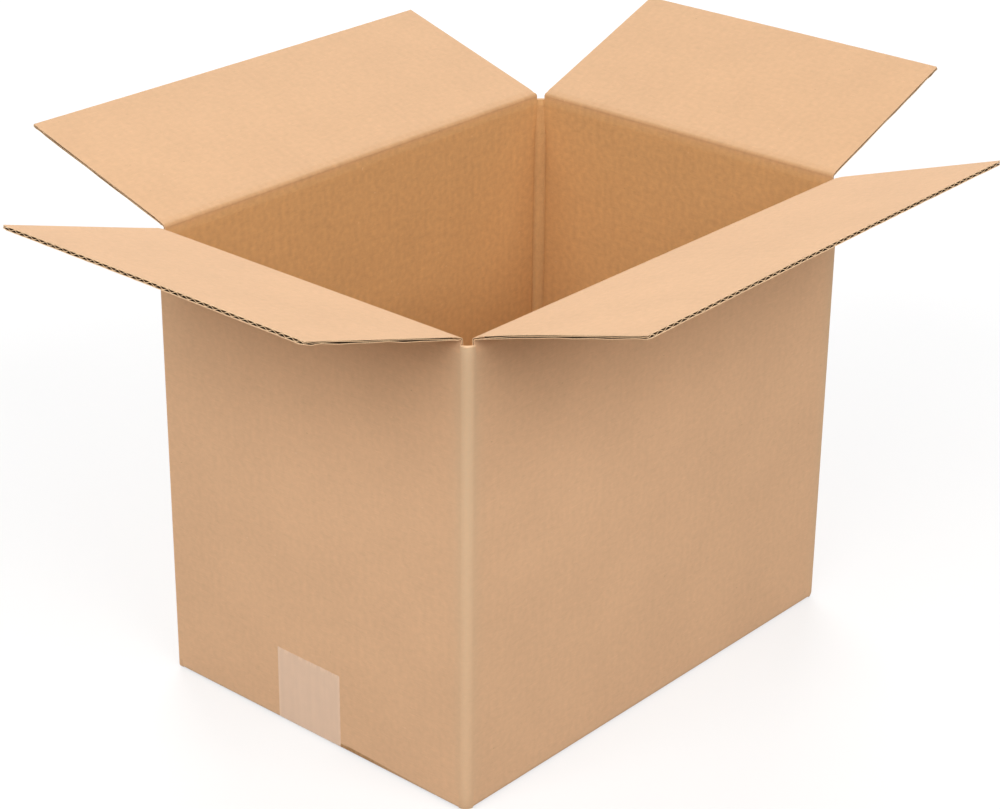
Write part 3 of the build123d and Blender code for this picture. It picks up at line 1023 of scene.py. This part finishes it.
def kraft_fibres(name):
    """Kraft paper in millimetres: clouds, mottle, grain, pale and dark fibres along the sheet, flecks."""
    inputs = {
        "Vector": "Vector", "Colour": "Color", "Dark": "Color", "Pale": "Color",
        "Clouds": 0.05, "Mottle": 0.05, "Fibres": 0.1, "Flecks": 0.5,
    }
    tree, given, out = new_group(name, inputs, {"Colour": "Color", "Height": "Float", "Grain": "Float"})
    place = given["Vector"]
    clouds = noise(tree, place, 0.024, 4.0)
    mottle = noise(tree, place, 0.28, 2.0)
    grain = noise(tree, place, 1.1, 3.0)
    pale = fibres(tree, place, (9, (0.13, 1.25), 0.5, 0.60, 0.76), (-62, (0.22, 1.7), 0.4, 0.64, 0.78))
    dark = fibres(tree, place, (-14, (0.11, 1.45), 0.5, 0.62, 0.78), (38, (0.2, 1.6), 0.4, 0.66, 0.80))
    cells = {"Vector": turned(tree, place, 17, (0.5, 1.0)), "Scale": 0.09}
    cell = add(tree, "ShaderNodeTexVoronoi", cells, voronoi_dimensions="2D").outputs
    chosen = add(tree, "ShaderNodeSeparateColor", {"Color": cell["Color"]}).outputs
    size = between(tree, chosen[0], 0.7, 1.0, 0.0, 0.035)
    fleck = between(tree, math_node(tree, "SUBTRACT", size, cell["Distance"]), 0.0, 0.02)

    tone = 1.0
    for pattern, amount in ((clouds, given["Clouds"]), (mottle, given["Mottle"])):
        tone = math_node(tree, "MULTIPLY_ADD", math_node(tree, "SUBTRACT", pattern, 0.5), amount, tone)
    threads = math_node(tree, "SUBTRACT", pale, dark)
    threads = math_node(tree, "ADD", threads, math_node(tree, "SUBTRACT", grain, 0.5))
    tone = math_node(tree, "MULTIPLY_ADD", threads, given["Fibres"], tone)
    share = math_node(tree, "MULTIPLY", fleck, given["Flecks"])
    kind = mix(tree, between(tree, chosen[1], 0.45, 0.5), given["Pale"], given["Dark"])
    raised = math_node(tree, "MULTIPLY", math_node(tree, "ADD", pale, dark), 0.5)
    give(tree, out, {
        "Colour": mix(tree, share, shaded(tree, given["Colour"], tone), kind),
        "Height": math_node(tree, "MULTIPLY_ADD", grain, 0.5, raised),
        "Grain": grain,
    })
    return tree


def flute_lines(name):
    """Washboard of the flutes through a liner: a sine across the sheet, stronger in some places."""
    tree, given, out = new_group(name, {"Vector": "Vector", "Pitch": 6.05}, {"Lines": "Float"})
    across = add(tree, "ShaderNodeSeparateXYZ", {0: given["Vector"]}).outputs[0]
    sway = math_node(tree, "MULTIPLY", noise(tree, given["Vector"], 0.02, 1.0), 1.6)
    turns = math_node(tree, "DIVIDE", math_node(tree, "MULTIPLY", across, math.tau), given["Pitch"])
    line = math_node(tree, "SINE", math_node(tree, "ADD", turns, sway))
    place = turned(tree, given["Vector"], 0, (1.0, 0.22))
    amount = between(tree, noise(tree, place, 0.05, 2.0), 0.3, 0.7, 0.25, 1.0)
    give(tree, out, {"Lines": math_node(tree, "MULTIPLY", line, amount)})
    return tree


def patchy_marks(name):
    """A share of wear and painted light broken up into streaks and spots."""
    tree, given, out = new_group(name, {"Vector": "Vector", "Share": 0.0}, {"Share": "Float"})
    streaks = noise(tree, turned(tree, given["Vector"], 0, (1.0, 0.16)), 0.5, 3.0)
    spots = noise(tree, given["Vector"], 0.9, 2.0)
    broken = between(tree, math_node(tree, "ADD", streaks, spots), 0.6, 1.35, 0.75, 1.1)
    give(tree, out, {"Share": math_node(tree, "MULTIPLY", given["Share"], broken)})
    return tree


def new_material(name):
    """Empty material with a principled shader."""
    material = bpy.data.materials.new(name)
    material.use_nodes = True
    tree = material.node_tree
    tree.nodes.clear()
    shader = add(tree, "ShaderNodeBsdfPrincipled")
    add(tree, "ShaderNodeOutputMaterial", {"Surface": shader.outputs[0]})
    return material, tree, shader


def flat_place(tree):
    """Place on the flat sheet, in millimetres."""
    flat = add(tree, "ShaderNodeUVMap", uv_map=FLAT_MAP).outputs[0]
    return add(tree, "ShaderNodeMapping", {"Vector": flat, "Scale": (1 / MM, 1 / MM, 1.0)}).outputs[0]


def share_of(tree, name):
    return add(tree, "ShaderNodeAttribute", attribute_name=name).outputs["Fac"]


def kraft_paper(tree, place, colours, paper, **amounts):
    inputs = {"Vector": place, "Colour": paper, "Dark": rgba(colours.fleck), "Pale": rgba(colours.speck)}
    return use_group(tree, "Kraft fibres", inputs | amounts)


def liner_material(name, colours, paper, lines, shade_paper=None, deep_lines=0.0):
    """Kraft liner: fibres and clouds, flutes showing through, pale where rubbed, partly a painted highlight,
    and dark in pressed lines, partly painted shade.

    Where a shade paper is given, it takes over below the crease lines as painted shade, a darker and more
    saturated copy of the paper for the shaded inside of the box, with its own strength of flute lines and
    twice the mottle.
    """
    material, tree, shader = new_material(name)
    place = flat_place(tree)
    paper, mottle = rgba(paper), 0.12
    if shade_paper is not None:
        # painted shade: below the creases the paper turns to its darker copy for the shaded inside of the box
        level = (heights(bpy.context.scene.board_sizes)["crease"] + INSIDE_SHIFT[1]) / MM
        height = add(tree, "ShaderNodeSeparateXYZ", {0: place}).outputs[1]
        deep = between(tree, height, level - 3.5, level + 2.5, 1.0, 0.0)
        paper = mix(tree, deep, paper, rgba(shade_paper))
        lines = math_node(tree, "MULTIPLY_ADD", deep, deep_lines - lines, lines)
        mottle = math_node(tree, "MULTIPLY_ADD", deep, mottle, mottle)
    kraft = kraft_paper(tree, place, colours, paper, Clouds=0.10, Mottle=mottle, Fibres=0.04, Flecks=0.3)
    flute = use_group(tree, "Flute lines", {"Vector": place})["Lines"]
    flute = math_node(tree, "MULTIPLY", flute, lines)
    tone = shaded(tree, kraft["Colour"], math_node(tree, "ADD", flute, 1.0))
    # rubbed and pressed colours, partly painted highlight and painted shade
    for mark, amount, tint_and_painted_light in ((RUBBED, 0.8, colours.rubbed), (PRESSED, 0.4, colours.pressed)):
        share = use_group(tree, "Patchy marks", {"Vector": place, "Share": share_of(tree, mark)})["Share"]
        tone = mix(tree, math_node(tree, "MULTIPLY", share, amount), tone, rgba(tint_and_painted_light))
    give(tree, shader, {
        "Base Color": tone,
        "Roughness": between(tree, kraft["Grain"], 0.3, 0.7, 0.68, 0.82),
        "Specular IOR Level": 0.3,
        "Normal": bump(tree, math_node(tree, "MULTIPLY_ADD", kraft["Height"], 0.03, flute)),
    })
    return material


def paper_edge_material(name, paper, colours, threads):
    """Cut or fluted paper: kraft fibres only, coarse and without shine."""
    material, tree, shader = new_material(name)
    kraft = kraft_paper(tree, flat_place(tree), colours, rgba(paper), Clouds=0.2, Fibres=threads, Flecks=0.4)
    give(tree, shader, {
        "Base Color": kraft["Colour"],
        "Roughness": between(tree, kraft["Grain"], 0.3, 0.7, 0.82, 0.95),
        "Specular IOR Level": 0.15,
        "Normal": bump(tree, kraft["Height"], 0.06 * MM),
    })
    return material


def tape_material(colours):
    """Clear tape: a thin glossy film, a little milkier where its adhesive holds air, and paler and milkier
    along its edges as a painted highlight.
    """
    material, tree, shader = new_material("clear_tape")
    place = flat_place(tree)
    streaks = noise(tree, turned(tree, place, 0, (1.0, 0.08)), 0.25, 2.0)
    bubbles = noise(tree, place, 0.12, 3.0)
    flute = use_group(tree, "Flute lines", {"Vector": place})["Lines"]
    # painted highlight: paler and milkier along the tape's edges
    edge = math_node(tree, "MULTIPLY", share_of(tree, RUBBED), 0.12)
    milky = math_node(tree, "ADD", edge, 0.81)
    for pattern in (streaks, bubbles):
        milky = math_node(tree, "ADD", milky, between(tree, pattern, 0.3, 0.7, 0.0, 0.02))
    height = math_node(tree, "MULTIPLY_ADD", flute, 0.004, math_node(tree, "MULTIPLY", streaks, 0.01))
    give(tree, shader, {
        "Base Color": mix(tree, edge, rgba(colours.tape), rgba(colours.rubbed)),
        "Alpha": milky,
        "Roughness": between(tree, bubbles, 0.3, 0.7, 0.36, 0.44),
        "Normal": bump(tree, height),
    })
    return material


def board_materials(colours):
    """The board's materials, made once, in the order of its slots."""
    names = ("outside_liner", "inside_liner", "cut_edge", "fluted_medium")
    if bpy.data.materials.get(names[0]) is None:
        liner_material("outside_liner", colours, colours.outside, 0.006)
        # the inside liner is painted darker below the creases as painted shade
        liner_material("inside_liner", colours, colours.flap, 0.006, colours.inside, 0.016)
        paper_edge_material("cut_edge", colours.cut, colours, 0.16)
        paper_edge_material("fluted_medium", colours.medium, colours, 0.14)
    return [bpy.data.materials[name] for name in names]


# Operators


class BuildWalls(Operator):
    """Makes the folded sheet of the four walls with its glued lap"""

    bl_idname = "cardboard_box.walls"
    bl_label = "Walls"

    def execute(self, context):
        sizes = context.scene.board_sizes
        piece = make_piece("walls", wall_sheets(sizes), board_materials(context.scene.board_colours))
        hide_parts("box_body")
        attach(piece, BOX)
        return {"FINISHED"}


class BuildBase(Operator):
    """Makes the feet of the walls and the four closed base flaps"""

    bl_idname = "cardboard_box.base"
    bl_label = "Base"

    def execute(self, context):
        sizes = context.scene.board_sizes
        materials = board_materials(context.scene.board_colours)
        for number, wall in enumerate(box_walls(sizes)):
            name = wall.name.replace("flap", "base")
            board = base_flap_sheets(sizes, wall, BASE_SEED + 10 * number)
            for part, sheets in (("fold", base_root_sheets(sizes, wall)), ("board", board)):
                piece = make_piece(f"{name}_{part}", sheets, materials)
                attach(piece, BOX)
        return {"FINISHED"}


class BuildFlaps(Operator):
    """Makes the boards of the four top flaps, fluted from edge to edge"""

    bl_idname = "cardboard_box.flaps"
    bl_label = "Top flaps"

    def execute(self, context):
        sizes = context.scene.board_sizes
        materials = board_materials(context.scene.board_colours)
        reach = BODY_HIGH.y - sizes.caliper / 2 - sizes.lid_gap / 2 - sizes.crush
        crease = heights(sizes)["crease"]
        for number, wall in enumerate(box_walls(sizes)):
            origin = crease_axis(sizes, wall) + wall.out * sizes.crush + wall.face * layer_shift(sizes, wall)
            width = wall.span - 2 * sizes.slot_inset - 2 * sizes.side_room
            flat = (wall.sheet, crease + sizes.crush)
            sheets = fluted_board(
                sizes, origin, wall.travel, wall.out, wall.face, width, reach, flat,
                FLAP_SEED + 10 * number, flap_bow(wall.name),
            )
            piece = make_piece(f"{wall.name}_board", sheets, materials)
            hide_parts(wall.name)
            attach(piece, wall.name)
        return {"FINISHED"}


class BuildCreases(Operator):
    """Makes the crushed board of the four top creases, which bends between wall and flap"""

    bl_idname = "cardboard_box.creases"
    bl_label = "Top creases"

    def execute(self, context):
        sizes = context.scene.board_sizes
        materials = board_materials(context.scene.board_colours)
        for number, wall in enumerate(box_walls(sizes)):
            sheets = crease_sheets(sizes, wall, CREASE_SEED + number)
            piece = make_piece(wall.name.replace("flap", "crease"), sheets, materials)
            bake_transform(piece)
        return {"FINISHED"}


class BuildTape(Operator):
    """Makes the clear tape along the base seam and up the short walls"""

    bl_idname = "cardboard_box.tape"
    bl_label = "Base tape"

    def execute(self, context):
        piece = make_piece(
            "base_tape", tape_sheets(context.scene.board_sizes), [tape_material(context.scene.board_colours)]
        )
        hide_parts("bottom_tape")
        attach(piece, BOX)
        return {"FINISHED"}


class BuildStudio(Operator):
    """Makes the pale floor, the soft light and the camera"""

    bl_idname = "cardboard_box.studio"
    bl_label = "Studio"

    def execute(self, context):
        scene, studio = context.scene, context.scene.studio
        self.make_camera(scene, studio)
        self.make_light(scene, studio)
        self.make_floor(scene, studio)
        scene.view_settings.view_transform = "Standard"
        return {"FINISHED"}

    def make_camera(self, scene, studio):
        """Camera as in the photograph, from its place and three angles."""
        a, e, r = studio.azimuth, studio.elevation, studio.roll
        back = np.array((math.sin(a) * math.cos(e), -math.cos(a) * math.cos(e), math.sin(e)))
        right = np.array((math.cos(a), math.sin(a), 0.0))
        up = np.cross(back, right)
        axes = (math.cos(r) * right + math.sin(r) * up, math.cos(r) * up - math.sin(r) * right, back)
        turn = Matrix(np.stack(axes, 1).tolist()).to_4x4()
        data = bpy.data.cameras.new("photo_camera")
        data.sensor_width, data.lens = 36.0, studio.lens
        data.clip_start, data.clip_end = 0.05, 60.0
        camera = bpy.data.objects.new("photo_camera", data)
        camera.matrix_world = Matrix.Translation(studio.place) @ turn
        scene.collection.objects.link(camera)
        scene.camera = camera

    def make_light(self, scene, studio):
        """Surroundings that are white to the camera and dimmer as a light, and three softboxes."""
        world = bpy.data.worlds.new("white_surroundings")
        world.use_nodes = True
        tree = world.node_tree
        tree.nodes.clear()
        seen = self.seen(tree)
        direction = add(tree, "ShaderNodeTexCoord").outputs["Generated"]
        height = add(tree, "ShaderNodeSeparateXYZ", {0: direction}).outputs[2]
        sky = between(tree, height, 0.2, 0.45, studio.low_sky, studio.high_sky)
        lit = add(tree, "ShaderNodeBackground", {"Color": WHITE, "Strength": sky})
        white = add(tree, "ShaderNodeBackground", {"Color": WHITE, "Strength": 1.0})
        mixed = add(tree, "ShaderNodeMixShader", {0: seen, 1: lit.outputs[0], 2: white.outputs[0]})
        add(tree, "ShaderNodeOutputWorld", {"Surface": mixed.outputs[0]})
        scene.world = world

        self.softbox(scene, "left_softbox", studio.left, studio.left_place)
        self.softbox(scene, "right_softbox", studio.right, studio.right_place)
        self.softbox(scene, "back_softbox", studio.back, studio.back_place)

    def softbox(self, scene, name, energy, place):
        """Soft light that faces the box."""
        data = bpy.data.lights.new(name, "AREA")
        data.shape, data.size, data.size_y = "RECTANGLE", *LAMP_SIZE
        data.energy = energy
        lamp = bpy.data.objects.new(name, data)
        toward = Vector((0.0, 0.0, LAMP_AIM)) - Vector(place)
        turn = toward.to_track_quat("-Z", "Y").to_matrix().to_4x4()
        lamp.matrix_world = Matrix.Translation(place) @ turn
        scene.collection.objects.link(lamp)

    def seen(self, tree):
        """1 on rays from the camera, a mirror or clear film, 0 on rays that only carry light."""
        path = add(tree, "ShaderNodeLightPath").outputs
        total = math_node(tree, "ADD", path["Is Camera Ray"], path["Is Glossy Ray"])
        inputs = {0: total, 1: path["Is Transmission Ray"]}
        return add(tree, "ShaderNodeMath", inputs, operation="ADD", use_clamp=True).outputs[0]

    def make_floor(self, scene, studio):
        """Floor that is lit near the box and fades to white with distance."""
        material = bpy.data.materials.new("pale_floor")
        material.use_nodes = True
        tree = material.node_tree
        tree.nodes.clear()
        seen = self.seen(tree)
        shade = mix(tree, seen, rgba(studio.bounce), rgba(studio.floor))
        diffuse = add(tree, "ShaderNodeBsdfDiffuse", {"Color": shade})
        white = add(tree, "ShaderNodeEmission", {"Color": WHITE, "Strength": 1.0})
        place = add(tree, "ShaderNodeTexCoord").outputs["Object"]
        away = add(tree, "ShaderNodeVectorMath", {0: place}, operation="LENGTH").outputs["Value"]
        share = math_node(tree, "MULTIPLY", seen, between(tree, away, 0.7, 2.4, 0.6, 1.0))
        mixed = add(tree, "ShaderNodeMixShader", {0: share, 1: diffuse.outputs[0], 2: white.outputs[0]})
        add(tree, "ShaderNodeOutputMaterial", {"Surface": mixed.outputs[0]})

        side = np.linspace(-FLOOR_HALF, FLOOR_HALF, 9)
        x, y = np.meshgrid(side, side)
        points = np.stack([x, y, np.full_like(x, -FLOOR_DROP)], -1).reshape(-1, 3)
        cells = grid_cells(len(side), len(side), 0)
        mesh = bpy.data.meshes.new("floor")
        mesh.from_pydata(points.tolist(), [], cells.tolist())
        mesh.materials.append(material)
        ground = bpy.data.objects.new("floor", mesh)
        scene.collection.objects.link(ground)


class BoxPanel(Panel):
    """Lists the box's sizes, colours and pieces"""

    bl_idname = "VIEW3D_PT_cardboard_box"
    bl_label = "Open cardboard box"
    bl_space_type = "VIEW_3D"
    bl_region_type = "UI"
    bl_category = "Box"

    def draw(self, context):
        for name in SETTINGS:
            settings = getattr(context.scene, name)
            column = self.layout.column(align=True)
            for key in settings.bl_rna.properties.keys():
                if key not in {"rna_type", "name"}:
                    column.prop(settings, key)
        for step in STEPS:
            self.layout.operator(step.bl_idname)


STEPS = (BuildWalls, BuildBase, BuildFlaps, BuildCreases, BuildTape, BuildStudio)
SETTINGS = {"board_sizes": BoardSizes, "board_colours": BoardColours, "studio": StudioSettings}
CLASSES = (*SETTINGS.values(), *STEPS, BoxPanel)


def register():
    for item in CLASSES:
        bpy.utils.register_class(item)
    for name, settings in SETTINGS.items():
        setattr(bpy.types.Scene, name, PointerProperty(type=settings))


def unregister():
    for name in SETTINGS:
        delattr(bpy.types.Scene, name)
    for item in reversed(CLASSES):
        bpy.utils.unregister_class(item)


def main():
    """Builds every piece and the studio in order."""
    register()
    for step in STEPS:
        family, name = step.bl_idname.split(".")
        getattr(getattr(bpy.ops, family), name)()


if __name__ == "__main__":
    main()
